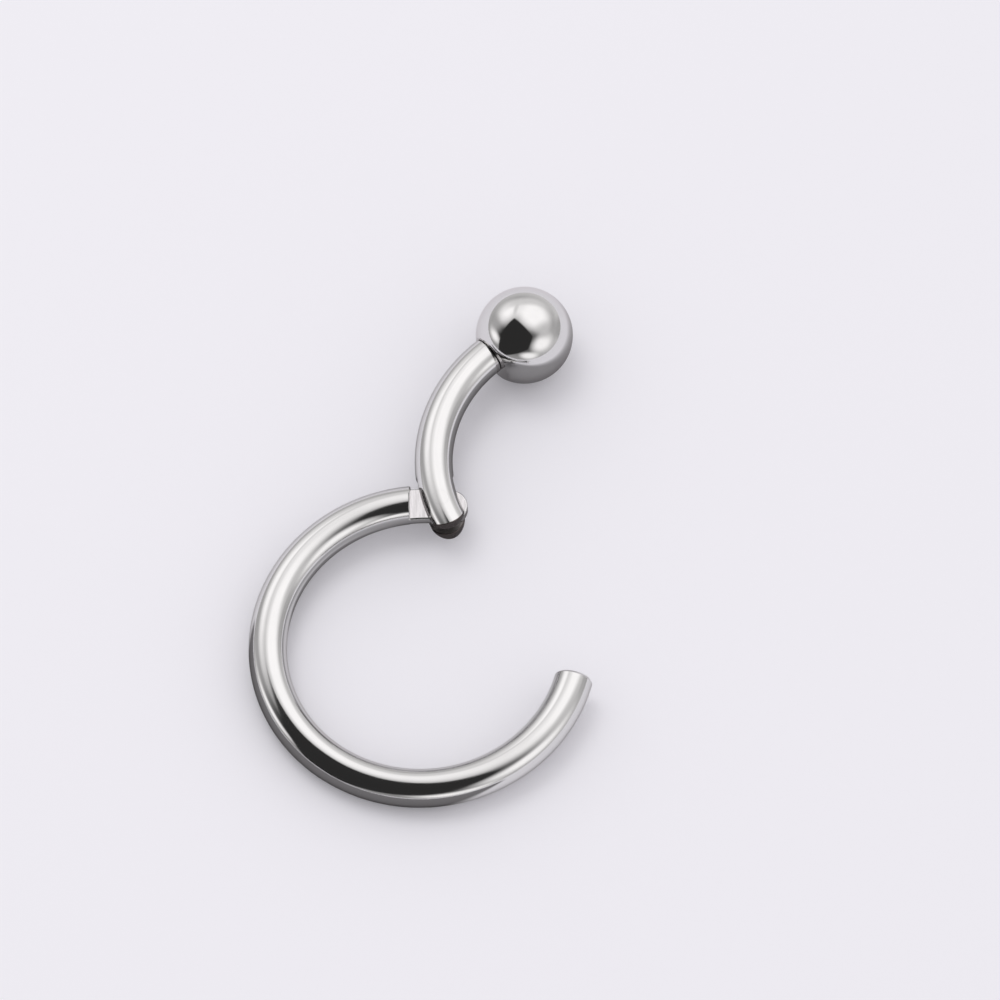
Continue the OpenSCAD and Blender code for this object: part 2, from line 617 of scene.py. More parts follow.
@dataclass
class WireSweep:
    """A stretch of round wire along the ring, made with Geometry Nodes.

    Four of the lengthwise edges run at the height of the hinge's flats, so that
    the flats meet the wire edge to edge.

    Attributes:
        ring: The ring that it belongs to.
        start: Place of its first end, in degrees along the ring.
        end: Place of its other end.
        flat_height: Height of the flats above the ring's middle plane.
        rings: Number of rings of points along it.
        side_steps: Number of faces round the wire between the two flats.
        band_steps: Number of faces round it above or below them.
    """

    ring: Ring
    start: float
    end: float
    flat_height: float
    rings: int
    side_steps: int = 12
    band_steps: int = 52

    @property
    def flat_angle(self) -> float:
        """Angle round the wire at which the flats meet it."""
        return math.degrees(math.asin(self.flat_height / self.ring.wire_r))

    def side(self, inner: bool = False) -> Points:
        """Angles round the wire of the edges between the two flats, upwards."""
        angles = steps(-self.flat_angle, self.flat_angle, self.side_steps)
        return 180 - angles if inner else angles

    def band(self) -> Points:
        """Angles round the wire of the edges above the upper flat, inwards."""
        return steps(self.flat_angle, 180 - self.flat_angle, self.band_steps)

    def around(self) -> Points:
        """Angles of all the lengthwise edges, once round the wire."""
        half = np.concatenate([self.side()[:-1], self.band()[:-1]])
        return np.concatenate([half, 180 + half])

    def _tree(self) -> bpy.types.NodeTree:
        """Builds the node tree, which all the stretches of wire share.

        Returns:
            The tree.
        """
        name = "wire_sweep"
        if name in bpy.data.node_groups:
            return bpy.data.node_groups[name]
        tree = bpy.data.node_groups.new(name, "GeometryNodeTree")
        for label, kind in (("Ring Radius", "Float"), ("Wire Radius", "Float"), ("Start Angle", "Float"),
                            ("End Angle", "Float"), ("Flat Height", "Float"), ("Rings", "Int"),
                            ("Side Steps", "Int"), ("Band Steps", "Int"), ("Finish", "Material")):
            tree.interface.new_socket(label, in_out="INPUT", socket_type=f"NodeSocket{kind}")
        tree.interface.new_socket("Geometry", in_out="OUTPUT", socket_type="NodeSocketGeometry")
        nodes = Nodes(tree)
        given = nodes.add("NodeGroupInput")
        ring_r, wire_r, start, end, height, _, sides, bands = (nodes.value(given, i) for i in range(8))
        half_steps = sides + bands
        grid = nodes.add("GeometryNodeMeshGrid", None, {
            "Size X": 1.0, "Size Y": 1.0,
            "Vertices X": given.outputs["Rings"], "Vertices Y": 2 * half_steps + 1})
        place = nodes.add("ShaderNodeSeparateXYZ", None, {
            0: nodes.add("GeometryNodeInputPosition").outputs[0]})
        along = start + (end - start) * (nodes.value(place, "X") + 0.5)
        step = (nodes.value(place, "Y") + 0.5) * 2 * half_steps
        half = (step / half_steps).floor()
        step = step - half * half_steps
        flat = (height / wire_r).asin()
        around = math.pi * half - flat + 2 * flat * step.at_most(sides) / sides + (
            math.pi - 2 * flat) * (step - sides).at_least(0.0) / bands
        out = ring_r + wire_r * around.cos()
        point = nodes.add("ShaderNodeCombineXYZ", None, {
            "X": out * along.cos(), "Y": out * along.sin(), "Z": wire_r * around.sin()})
        shaped = nodes.add("GeometryNodeSetPosition", None, {
            "Geometry": grid.outputs["Mesh"], "Position": point.outputs[0]})
        joined = nodes.add("GeometryNodeMergeByDistance", None, {
            "Geometry": shaped.outputs[0], "Distance": WELD})
        real = nodes.add("GeometryNodeRealizeInstances", None, {"Geometry": joined.outputs[0]})
        dressed = nodes.add("GeometryNodeSetMaterial", None, {
            "Geometry": real.outputs[0], "Material": given.outputs["Finish"]})
        nodes.add("NodeGroupOutput", None, {"Geometry": dressed.outputs[0]})
        return tree

    def bake(self, finish: Material) -> bpy.types.Mesh:
        """Runs the tree once.

        Args:
            finish: The wire's finish.

        Returns:
            A plain mesh, open at both ends.
        """
        tree = self._tree()
        empty = bpy.data.meshes.new("wire_holder")
        holder = new_object(empty.name, empty)
        modifier = holder.modifiers.new("sweep", "NODES")
        modifier.node_group = tree
        sizes = {
            "Ring Radius": self.ring.ring_r, "Wire Radius": self.ring.wire_r,
            "Start Angle": math.radians(self.start), "End Angle": math.radians(self.end),
            "Flat Height": self.flat_height, "Rings": self.rings,
            "Side Steps": self.side_steps, "Band Steps": self.band_steps, "Finish": finish}
        for item in tree.interface.items_tree:
            if item.in_out == "INPUT":
                modifier[item.identifier] = sizes[item.name]
        graph = bpy.context.evaluated_depsgraph_get()
        baked = bpy.data.meshes.new_from_object(holder.evaluated_get(graph))
        baked.materials.clear()
        bpy.data.objects.remove(holder)
        bpy.data.meshes.remove(empty)
        return baked


@dataclass(frozen=True)
class Steel:
    """What the finishes share.

    Attributes:
        name: The material's name.
        colour: Its reflectance, from 0 to 1.
        dulled: Share of the colour that is left in the dullest places.
        roughness: Roughness of the clean metal.
        mark_depth: Depth of its marks, in metres.
        mark_haze: How much the marks change the roughness.
        limb_tint: How much of the glancing light is mirrored.
    """

    name: str
    colour: tuple[float, float, float]
    dulled: float
    roughness: float
    mark_depth: float
    mark_haze: float
    limb_tint: tuple[float, float, float] = (1.0, 1.0, 1.0)

    def _shade(self, nodes: Nodes, marks: Value, dull: Value, roughness: Value) -> None:
        """Ends the material's tree in the metal's shader.

        Args:
            nodes: The tree.
            marks: Height of the marks, from 0 to 1.
            dull: How dull the colour is, from 0 to 1.
            roughness: The roughness.
        """
        bump = nodes.add("ShaderNodeBump", None, {
            "Strength": 1.0, "Distance": self.mark_depth, "Height": marks})
        tint = nodes.add("ShaderNodeMix", {"data_type": "RGBA"}, {
            "Factor": dull, "A": (*self.colour, 1.0),
            "B": (*[c * self.dulled for c in self.colour], 1.0)})
        nodes.surface("ShaderNodeBsdfPrincipled", {
            "Base Color": tint.outputs["Result"], "Metallic": 1.0, "Roughness": roughness,
            "Specular Tint": (*self.limb_tint, 1.0), "Normal": bump.outputs["Normal"]})


@dataclass(frozen=True)
class PolishedSteel(Steel):
    """Steel with a bright polish, faint hairlines and a slight haze.

    Attributes:
        haze: How much more the hazy places scatter.
        lengthwise: Whether the hairlines follow the wire.
    """

    name: str = "polished_steel"
    colour: tuple[float, float, float] = (0.775, 0.77, 0.765)
    dulled: float = 0.88
    roughness: float = 0.09
    mark_depth: float = 9e-7
    mark_haze: float = 0.03
    limb_tint: tuple[float, float, float] = (0.58, 0.57, 0.56)
    haze: float = 0.04
    lengthwise: bool = True

    def make(self) -> Material:
        """Builds the material.

        Returns:
            The material.
        """
        material, nodes = new_material(self.name)
        if self.lengthwise:
            where = nodes.add("ShaderNodeAttribute", {"attribute_name": "rod"}).outputs["Vector"]
            stretch = (0.22, 4.5, 4.5)
        else:
            where = nodes.add("ShaderNodeTexCoord").outputs["Object"]
            stretch = (1500.0, 1500.0, 3000.0)
        lines_at = nodes.add("ShaderNodeMapping", None, {"Vector": where, "Scale": stretch})
        lines = nodes.value(nodes.add("ShaderNodeTexNoise", None, {
            "Vector": lines_at.outputs[0], "Scale": 3.0, "Detail": 3.0, "Roughness": 0.6}))
        spots_at = nodes.add("ShaderNodeTexCoord").outputs["Object"]
        spots = nodes.value(nodes.add("ShaderNodeTexNoise", None, {
            "Vector": spots_at, "Scale": 900.0, "Detail": 4.0, "Roughness": 0.55}))
        roughness = self.roughness + self.haze * spots.fade(0.42, 0.7) + self.mark_haze * (lines - 0.5)
        self._shade(nodes, lines, 0.5 * spots + 0.5 * lines, roughness)
        return material


@dataclass(frozen=True)
class GroundSteel(Steel):
    """Steel as the cutter and a fine stone leave it: satin, with faint straight marks."""

    name: str = "ground_steel"
    colour: tuple[float, float, float] = (0.74, 0.72, 0.73)
    dulled: float = 0.84
    roughness: float = 0.17
    mark_depth: float = 1.5e-6
    mark_haze: float = 0.08

    def make(self) -> Material:
        """Builds the material.

        Returns:
            The material.
        """
        material, nodes = new_material(self.name)
        where = nodes.add("ShaderNodeAttribute", {"attribute_name": "rod"}).outputs["Vector"]
        marks_at = nodes.add("ShaderNodeMapping", None, {
            "Vector": where, "Rotation": (0.0, 0.0, math.radians(24)), "Scale": (9.0, 0.9, 1.8)})
        noise = nodes.value(nodes.add("ShaderNodeTexNoise", None, {
            "Vector": marks_at.outputs[0], "Scale": 1.0, "Detail": 4.0, "Roughness": 0.65}))
        marks = noise.fade(0.3, 0.7)
        self._shade(nodes, noise, marks, self.roughness + self.mark_haze * (marks - 0.5))
        return material


@dataclass
class Hoop:
    """The C-shaped wire with the flat tongue of the hinge at one end.

    Attributes:
        ring: The ring that it belongs to.
        tongue_t: Thickness of the tongue.
        tongue_setback: How far the tongue's outer side is set back from the wire's.
        tongue_reach: Distance from the pin to the tongue's round end.
        turn_gap: Clearance round the pin.
        tip_chamfer: Width of the chamfer at the free end.
        edge: How far the rounding of the hinge's edges reaches.
        tip_edge: How far the rounding of the free end's edges reaches.
        seat_run: Degrees of wire behind the shoulder that lead over to the swept wire.
        seat_rows: Number of faces along that stretch.
        rings: Number of rings of points along the rest of the wire.
        rows_to_pin: Number of faces along the tongue, from the shoulder to the pin.
        rows_past_pin: Number of faces from the pin to the round end.
        end_rows: Number of faces round the round end.
    """

    ring: Ring
    tongue_t: float = 0.36
    tongue_setback: float = 0.13
    tongue_reach: float = 0.84
    turn_gap: float = 0.03
    tip_chamfer: float = 0.08
    edge: float = 0.045
    tip_edge: float = 0.015
    seat_run: float = 2.0
    seat_rows: int = 6
    rings: int = 500
    rows_to_pin: int = 26
    rows_past_pin: int = 12
    end_rows: int = 64

    def build(self, steel: Material, ground: Material) -> Object:
        """Builds the hoop.

        Args:
            steel: Finish of the wire.
            ground: Finish of the tongue.

        Returns:
            The finished piece.
        """
        ring = self.ring
        chamfer_at = ring.tip_angle - math.degrees(self.tip_chamfer / ring.ring_r)
        start = float(ring.shoulder(ring.ring_r - ring.wire_r)) + self.seat_run
        sweep = WireSweep(ring, start, chamfer_at, self.tongue_t / 2, self.rings)
        skin = Skin(ring)
        skin.mesh(sweep.bake(steel))
        around = closed(sweep.around())
        seat = steps(ring.shoulder(ring.out(around)), start, self.seat_rows)
        skin.sheet(ring.on_wire(seat, around), Surface.WIRE)
        self._tip(skin, sweep)
        self._tongue(skin, sweep)
        skin.weld()
        skin.break_edges(self.edge, [Surface.WIRE, Surface.WALL, Surface.ROUND_END], [Surface.TURNED])
        skin.break_edges(self.tip_edge, [Surface.TURNED], segments=2)
        return skin.finish("hoop_wire", False, steel, {Surface.FLAT: ground, Surface.BORE: ground})

    def _tip(self, skin: Skin, sweep: WireSweep) -> None:
        """Adds the flat cut at the free end, with its small chamfer.

        Args:
            skin: The hoop's skin.
            sweep: The hoop's stretch of wire.
        """
        around = closed(sweep.around())
        cut = self.ring.on_wire(self.ring.tip_angle, around, self.ring.wire_r - self.tip_chamfer)
        skin.sheet(np.stack([self.ring.on_wire(sweep.end, around), cut]), Surface.TURNED)
        skin.plate(cut[:-1], Surface.TURNED)

    def _tongue(self, skin: Skin, sweep: WireSweep) -> None:
        """Adds the shoulder, and the tongue with its round end and its bore.

        Args:
            skin: The hoop's skin.
            sweep: The hoop's stretch of wire.
        """
        ring = self.ring
        heights = ring.wire_r * np.sin(np.radians(sweep.side()))
        end_r = (ring.wire_d - self.tongue_setback) / 2 + ring.end_ease
        end_at = ring.pin_angle - ring.chord_angle(self.tongue_reach - end_r)
        end_out = ring.ring_r - self.tongue_setback / 2
        wall_out = np.full_like(heights, ring.ring_r + ring.wire_r - self.tongue_setback)
        inner_out = ring.out(sweep.side(inner=True))
        at_pin = self.rows_to_pin

        def rows(out: Points) -> Points:
            """Angles along the tongue from the shoulder to its round end.

            Args:
                out: Distances from the ring's axis.

            Returns:
                One row of angles after the other, each with one for every distance.
            """
            stop = end_at - ring.crossing(out, end_out, end_r)
            return np.concatenate([
                steps(ring.shoulder(out), ring.pin_angle, at_pin),
                steps(ring.pin_angle, stop, self.rows_past_pin)[1:]])

        def bearing(points: Points) -> Points:
            """Angles about the round end's axis, from outwards."""
            flat = turned(points, -end_at)
            return np.arctan2(flat[..., 1], flat[..., 0] - end_out)

        wall = ring.at(rows(wall_out), wall_out, heights)
        inner = ring.at(rows(inner_out), inner_out, heights)
        t = steps(bearing(wall[-1]), bearing(inner[-1]), self.end_rows)
        end = np.stack([end_out + end_r * np.cos(t), end_r * np.sin(t), heights + 0 * t], -1)
        end = turned(end, end_at)
        skin.sheet(wall, Surface.WALL)
        skin.sheet(inner, Surface.WIRE)
        skin.sheet(end, Surface.ROUND_END)
        skin.upright(Surface.WALL, np.zeros(3))
        skin.upright(Surface.ROUND_END, ring.at(end_at, end_out, 0.0))
        bore_r = ring.pin_d / 2 + self.turn_gap
        for level, sign in ((-1, 1.0), (0, -1.0)):
            height = sign * self.tongue_t / 2
            near = about_pin(ring, bore_r, height, 0, 180)
            far = about_pin(ring, bore_r, height, 180, 360)
            skin.plate(np.concatenate([wall[:at_pin + 1, level], near, inner[:at_pin + 1, level][::-1]]))
            skin.plate(np.concatenate([
                inner[at_pin:-1, level], end[::-1, level], wall[at_pin:-1, level][::-1], far[::-1]]))
            band = ring.on_wire(ring.shoulder(ring.out(sweep.band())), sweep.band())
            skin.plate(np.concatenate([band * (1.0, 1.0, sign), wall[:1, level]]))
        side = ring.on_wire(ring.shoulder(ring.out(sweep.side())), sweep.side())
        skin.plate(np.concatenate([side, wall[0][::-1]]))
        circle = about_pin(ring, bore_r, 0.0, 0, 360, 48)
        drop = np.array([0.0, 0.0, self.tongue_t / 2])
        skin.sheet(np.stack([circle - drop, circle + drop]), Surface.BORE)
        skin.upright(Surface.BORE, ring.middle(ring.pin_angle))


def about_pin(ring: Ring, radius: float, height: float, start: float, end: float,
              count: int = 24) -> Points:
    """Points on an arc about the pin.

    Args:
        ring: The ring.
        radius: The arc's radius.
        height: Its height.
        start: Angle of the first point, anticlockwise from outwards.
        end: Angle of the last point.
        count: Number of steps between them.

    Returns:
        The points in the ring's frame.
    """
    t = np.radians(steps(start, end, count))
    flat = np.stack([radius * np.cos(t), radius * np.sin(t), 0 * t + height], -1)
    return ring.local(ring.pin_angle, flat)


@dataclass
class Arm:
    """The curved wire that forks over the tongue and carries the ball.

    Attributes:
        ring: The ring that it belongs to.
        slot_w: Width of the fork's slot.
        fork_reach: Distance from the pin to the fork's round end.
        pin_gap: Clearance round the pin, which is held tight.
        spigot_d: Diameter of the spigot in the ball.
        spigot_l: Length of the spigot.
        edge: How far the rounding of its edges reaches.
        rings: Number of rings of points along the wire, up to the slot.
        rows_before: Number of faces along a leaf, up to the block of faces round the pin.
        rows_beside: Number of faces along that block.
        rows_past: Number of faces from there to the round end.
        rows_down: Number of faces down the round end.
        pin_margin: Number of faces across a leaf, from its side to the block.
        pin_rings: Number of rings of faces in the block.
    """

    ring: Ring
    slot_w: float = 0.4
    fork_reach: float = 0.96
    pin_gap: float = 0.001
    spigot_d: float = 0.7
    spigot_l: float = 1.1
    edge: float = 0.035
    rings: int = 120
    rows_before: int = 15
    rows_beside: int = 14
    rows_past: int = 5
    rows_down: int = 8
    pin_margin: int = 15
    pin_rings: int = 4

    def build(self, steel: Material, slot: Material, end: Material) -> Object:
        """Builds the arm.

        Args:
            steel: Finish of the wire.
            slot: Finish of the slot and the bores, ground steel darkened as painted shade.
            end: Finish of the fork's round end and its rims, steel near black as painted shade.

        Returns:
            The finished piece.
        """
        ring = self.ring
        slot_end = ring.pin_angle - ring.chord_angle(ring.seat_reach)
        sweep = WireSweep(ring, ring.arm_end_angle, slot_end, self.slot_w / 2, self.rings)
        skin = Skin(ring)
        skin.mesh(sweep.bake(steel))
        self._spigot(skin, sweep)
        for sign in (1.0, -1.0):
            self._leaf(skin, sweep, sign)
        skin.plate(np.concatenate([
            ring.on_wire(slot_end, sweep.side()), ring.on_wire(slot_end, sweep.side(inner=True))[::-1]]))
        skin.weld()
        skin.break_edges(self.edge, [Surface.WIRE, Surface.ROUND_END], [Surface.BORE])
        # The rounded edges of the fork's round end take the same painted shade as the end
        skin.recast(Surface.BREAK, Surface.END_BREAK, ring.pin_angle + self.round_from)
        return skin.finish("arm_wire", True, steel, {
            Surface.FLAT: slot, Surface.BORE: slot, Surface.ROUND_END: end, Surface.END_BREAK: end})

    @property
    def round_from(self) -> float:
        """How far past the pin the round end's axis lies, in degrees along the ring."""
        return self.ring.chord_angle(self.fork_reach - self.ring.wire_r - self.ring.end_ease)

    def _spigot(self, skin: Skin, sweep: WireSweep) -> None:
        """Adds the arm's end face and the spigot that holds the ball.

        Args:
            skin: The arm's skin.
            sweep: The arm's stretch of wire.
        """
        ring = self.ring
        around = closed(sweep.around())
        rim = ring.on_wire(sweep.start, around)
        neck = ring.on_wire(sweep.start, around, self.spigot_d / 2)
        back = turned(np.array([0.0, -self.spigot_l, 0.0]), sweep.start)
        skin.sheet(np.stack([rim, neck, neck + back]), Surface.FLAT)
        skin.plate((neck + back)[:-1])

    def _leaf(self, skin: Skin, sweep: WireSweep, sign: float) -> None:
        """Adds one leaf of the fork.

        Args:
            skin: The arm's skin.
            sweep: The arm's stretch of wire, which the leaf carries on.
            sign: 1 for the upper leaf, -1 for the lower.
        """
        ring = self.ring
        end_r = ring.wire_r + ring.end_ease
        first, last = ring.pin_angle - self.round_from, ring.pin_angle + self.round_from
        around = sweep.band()
        before = steps(sweep.end, first, self.rows_before)
        beside = steps(first, last, self.rows_beside)[1:]
        to_end = ring.crossing(ring.out(around), ring.ring_r, end_r)
        rows = [np.full_like(around, a) for a in (*before, *beside)]
        rows += [last + to_end * share for share in steps(0, 1, self.rows_past)[1:]]
        top = ring.on_wire(np.stack(rows), around[None, :]) * (1.0, 1.0, sign)
        block = (self.rows_before, self.rows_before + self.rows_beside,
                 self.pin_margin, sweep.band_steps - self.pin_margin)
        skin.sheet(top, Surface.WIRE, [block])
        rim = self._pin_hole(skin, top, block, sign)
        low = top[-1] * PLAN + (0.0, 0.0, sign * self.slot_w / 2)
        skin.sheet(steps(top[-1], low, self.rows_down), Surface.ROUND_END)
        skin.upright(Surface.ROUND_END, ring.middle(last))
        at_pin = self.rows_before + self.rows_beside // 2
        half = len(rim) // 2
        skin.plate(np.concatenate([
            top[:at_pin + 1, 0], rim[:1], rim[half:][::-1], top[:at_pin + 1, -1][::-1]]))
        skin.plate(np.concatenate([
            top[at_pin:, 0], low[1:-1], top[at_pin:, -1][::-1], rim[:half + 1][::-1]]))

    def _pin_hole(self, skin: Skin, top: Points, block: tuple[int, int, int, int], sign: float) -> Points:
        """Fills a block of the leaf's outside with rings of faces round the pin's bore.

        Args:
            skin: The arm's skin.
            top: The leaf's outer points.
            block: First row, last row, first column and last column of the block.
            sign: 1 for the upper leaf, -1 for the lower.

        Returns:
            The bore's rim on the leaf's inner flat, anticlockwise from outwards.
        """
        ring = self.ring
        r0, r1, c0, c1 = block
        mid = (r0 + r1) // 2
        loop = closed(np.concatenate([
            top[mid:r1, c0], top[r1, c0:c1], top[r1:r0:-1, c1], top[r0, c1:c0:-1], top[r0:mid, c0]]))
        pin = ring.middle(ring.pin_angle)
        hole = pin + unit((loop - pin) * PLAN) * (ring.pin_d / 2 + self.pin_gap)
        # The power brings the rings closer together towards the bore
        shares = steps(0, 1, self.pin_rings) ** 0.8
        rings = [ring.raised(loop * (1 - share) + hole * share, sign) for share in shares]
        skin.sheet(np.stack(rings), Surface.WIRE)
        low = rings[-1] * PLAN + (0.0, 0.0, sign * self.slot_w / 2)
        skin.sheet(np.stack([rings[-1], low]), Surface.BORE)
        skin.upright(Surface.BORE, pin)
        return low[:-1]


@dataclass
class HingePin:
    """The pin, ground flush with the wire at both ends.

    Attributes:
        ring: The ring that it belongs to.
        edge: How far the rounding of its rims reaches.
        turns: Number of faces round it.
        rows: Number of rings of faces on each end.
    """

    ring: Ring
    edge: float = 0.002
    turns: int = 96
    rows: int = 8

    def build(self, steel: Material) -> Object:
        """Builds the pin.

        Args:
            steel: Its finish.

        Returns:
            The finished piece.
        """
        ring = self.ring
        skin = Skin(ring)
        for sign in (1.0, -1.0):
            caps = [ring.raised(about_pin(ring, share * ring.pin_d / 2, 0.0, 0, 360, self.turns), sign)
                    for share in steps(1, 0, self.rows)]
            skin.sheet(np.stack(caps), Surface.WIRE)
            skin.sheet(np.stack([caps[0], caps[0] * PLAN]), Surface.BORE)
        skin.upright(Surface.BORE, ring.middle(ring.pin_angle))
        skin.weld()
        skin.break_edges(self.edge, [Surface.WIRE], segments=2)
        return skin.finish("pin_rod", True, steel)


@dataclass
class Ball:
    """The ball, with the flat seat and the hole that take the arm's end.

    Attributes:
        ring: The ring that it belongs to.
        seat_gap: Gap between the arm's end and the seat.
        hole_r: Radius of the hole.
        hole_depth: Depth of the hole.
        edge: How far the rounding of the seat's edge reaches.
        turns: Number of faces round it.
        rows: Number of rings of faces from the seat to its far side.
    """

    ring: Ring
    seat_gap: float = 0.01
    hole_r: float = 0.36
    hole_depth: float = 1.11
    edge: float = 0.02
    turns: int = 192
    rows: int = 109

    def build(self, steel: Material) -> Object:
        """Builds the ball.

        Args:
            steel: Its finish.

        Returns:
            The finished piece.
        """
        ring = self.ring
        centre = ring.middle(ring.ball_angle)
        out, along, up = turned(np.eye(3), ring.arm_end_angle)
        face = ring.middle(ring.arm_end_angle) - along * self.seat_gap
        depth = float((face - centre) @ along)
        start = math.acos(depth / ring.ball_r)
        t = steps(0, 2 * math.pi, self.turns)[:, None]
        sideways = np.cos(t) * out + np.sin(t) * up
        rows = [centre + ring.ball_r * (math.cos(a) * along + math.sin(a) * sideways)
                for a in steps(start, math.pi, self.rows)]
        skin = Skin(ring)
        skin.rules[Surface.BALL] = lambda points: unit(points - centre)
        skin.sheet(np.stack(rows), Surface.BALL)
        rim = centre + along * depth + ring.ball_r * math.sin(start) * sideways
        mouth = face + self.hole_r * sideways
        floor = mouth - along * self.hole_depth
        skin.sheet(np.stack([rim, mouth, floor]), Surface.FLAT)
        skin.plate(floor[:-1])
        skin.weld()
        skin.break_edges(self.edge, [Surface.BALL])
        return skin.finish("ball_shell", True, steel)


@dataclass(frozen=True)
class Card:
    """A soft bright card of the light tent.

    Attributes:
        right: Degrees to the right of the camera's side, seen from the object.
        up: Degrees above it.
        width: Half width, in degrees.
        height: Half height, in degrees.
        turn: How far its width is turned from level, anticlockwise, in degrees.
        level: Its brightness.
        soft: Where its edge starts to fade, as a share of its size.
    """

    right: float
    up: float
    width: float
    height: float
    turn: float
    level: float
    soft: float


@dataclass(frozen=True)
class Patch:
    """A soft patch of painted shade on the mat, which the steel reflects.

    Attributes:
        middle: Its middle, in millimetres.
        length: Half its length, in millimetres.
        width: Half its width, in millimetres.
        turn: How far its length is turned from the x axis, anticlockwise, in degrees.
        depth: How dark it is, from 0 to 1.
        soft: Where its edge starts to fade, as a share of its size.
    """

    middle: tuple[float, float]
    length: float
    width: float
    turn: float
    depth: float
    soft: float


@dataclass
class Studio:
    """The pale floor and the mat on it, the light tent with its opening, and the camera.

    Attributes:
        elevation: The camera's height above the horizon, in degrees.
        lens: Its focal length, in millimetres.
        sensor: The width of its sensor, in millimetres.
        clip: The nearest and the farthest that it sees, in millimetres.
        hoop_in_view: The hoop's centre right of, above and in front of the camera, in millimetres.
        glow: The tent's brightness level with the object, and how much it rises overhead,
            to the camera's right and to the camera's top.
        cloth_colour: Colour of the tent's light.
        opening: Corners of the opening that the camera looks through, in degrees right of and
            above the camera.
        opening_edge: Where the dark fades across each side of it, outside to inside.
        dark: Brightness of the opening.
        cards: The bright and the grey cards, the front ones last.
        card_end: Where a card's edge ends, as a share of its size.
        tent_r: The tent's radius, in millimetres.
        sky: Colour of the sky that the floor sees, and of the background.
        lamp_at: Place of the floor's lamp, in millimetres.
        lamp_d: Diameter of the lamp, in millimetres.
        lamp_power: Power of the lamp, in watts.
        floor_r: The floor's radius, in millimetres.
        floor_colour: The floor's colour.
        mat_r: The mat's radius, in millimetres.
        mat_height: The mat's height above the floor, in millimetres.
        patches: The mat's patches of painted shade.
        patch_colour: Their colour where they are darkest.
    """

    elevation: float = 61.5
    lens: float = 223.5
    sensor: float = 36.0
    clip: tuple[float, float] = (5.0, 5000.0)
    hoop_in_view: tuple[float, float, float] = (-2.396, -4.516, -193.5)
    glow: tuple[float, float, float, float] = (0.543, -0.434, 0.137, 0.156)
    cloth_colour: tuple[float, float, float] = (1.0, 0.985, 0.99)
    opening: tuple[tuple[float, float], ...] = (
        (-21.8, 44.0), (22.0, -0.5), (11.0, -33.0), (-67.0, -48.6), (-57.0, 4.0))
    opening_edge: tuple[float, float] = (-0.025, 0.035)
    dark: float = 0.031
    cards: tuple[Card, ...] = (
        Card(-37, 62, 32, 38, 0, 1.29, 0.06),
        Card(24, 51, 41, 44, 28, 1.29, 0.30),
        Card(46, -17, 33, 23, 39, 1.22, 0.26),
        Card(14, -50, 25, 11, 9, 1.16, 0.29),
        Card(-76, 6, 12, 27, 34, 1.21, 0.19),
        Card(96, 24, 28, 18, 21, 0.46, 0.43),
        Card(-73, 34, 29, 16, -27, 0.48, 0.0),
        Card(5, -80, 30, 12, 0, 0.50, 0.30),
        Card(8, 89, 15, 46, 18, 0.82, 0.0),
        Card(50, 15, 28, 23, 10, 0.70, 0.0),
        Card(-17.2, 69, 5.4, 31, 13, 0.84, 0.10))
    card_end: float = 1.15
    tent_r: float = 110.0
    sky: tuple[float, float, float] = (0.835, 0.825, 0.855)
    lamp_at: tuple[float, float, float] = (-50.0, 60.0, 200.0)
    lamp_d: float = 120.0
    lamp_power: float = 0.06
    floor_r: float = 800.0
    floor_colour: tuple[float, float, float] = (0.90, 0.89, 0.915)
    mat_r: float = 30.0
    mat_height: float = 0.01
    patches: tuple[Patch, ...] = (
        Patch((-10.7, -10.7), 14.0, 8.65, -56, 0.87, 0.96),
        Patch((-4.8, -15.5), 14.0, 8.65, -22, 0.87, 0.96),
        Patch((-2.85, -0.25), 3.4, 1.15, 43, 0.64, 0.75),
        Patch((3.0, 3.0), 7.0, 3.6, 60, 0.72, 0.6))
    patch_colour: tuple[float, float, float] = (0.10, 0.095, 0.095)

    def _axes(self) -> tuple[Points, Points, Points]:
        """The camera's right, up and backward directions."""
        c, s = cos_sin(self.elevation)
        return np.array([1.0, 0.0, 0.0]), np.array([0.0, s, c]), np.array([0.0, -c, s])

    def _toward(self, right_deg: float, up_deg: float) -> Points:
        """A direction from the object.

        Args:
            right_deg: Degrees to the right of the camera's side.
            up_deg: Degrees above it.

        Returns:
            The direction, with a length of 1.
        """
        right, up, back = self._axes()
        away = math.radians(math.hypot(right_deg, up_deg))
        side = unit(np.array([right_deg, up_deg]))
        return math.cos(away) * back + math.sin(away) * (side[0] * right + side[1] * up)

    def light(self) -> None:
        """Builds the plain soft light of the floor: a pale sky and one high lamp."""
        world = bpy.data.worlds.new("pale_sky")
        bpy.context.scene.world = world
        world.use_nodes = True
        Nodes(world.node_tree).surface(
            "ShaderNodeBackground", {"Color": (*self.sky, 1.0), "Strength": 1.0}, "ShaderNodeOutputWorld")
        data = bpy.data.lights.new("floor_lamp", "AREA")
        data.shape, data.size, data.energy = "DISK", self.lamp_d * MM, self.lamp_power
        lamp = new_object("floor_lamp", data)
        lamp.location = Vector(self.lamp_at) * MM
        lamp.rotation_euler = Vector(self.lamp_at).to_track_quat("Z", "Y").to_euler()
        lamp.visible_glossy = False

    @staticmethod
    def _stage(name: str, bm: bmesh.types.BMesh, material: Material, only_mirrored: bool) -> Object:
        """Makes an object for the studio.

        Args:
            name: Its name.
            bm: Its faces, which are freed.
            material: Its material.
            only_mirrored: Whether only the steel's reflections see it.

        Returns:
            The object.
        """
        mesh = bpy.data.meshes.new(name)
        bm.to_mesh(mesh)
        bm.free()
        mesh.materials.append(material)
        made = new_object(name, mesh)
        made.visible_camera = made.visible_diffuse = made.visible_shadow = not only_mirrored
        return made

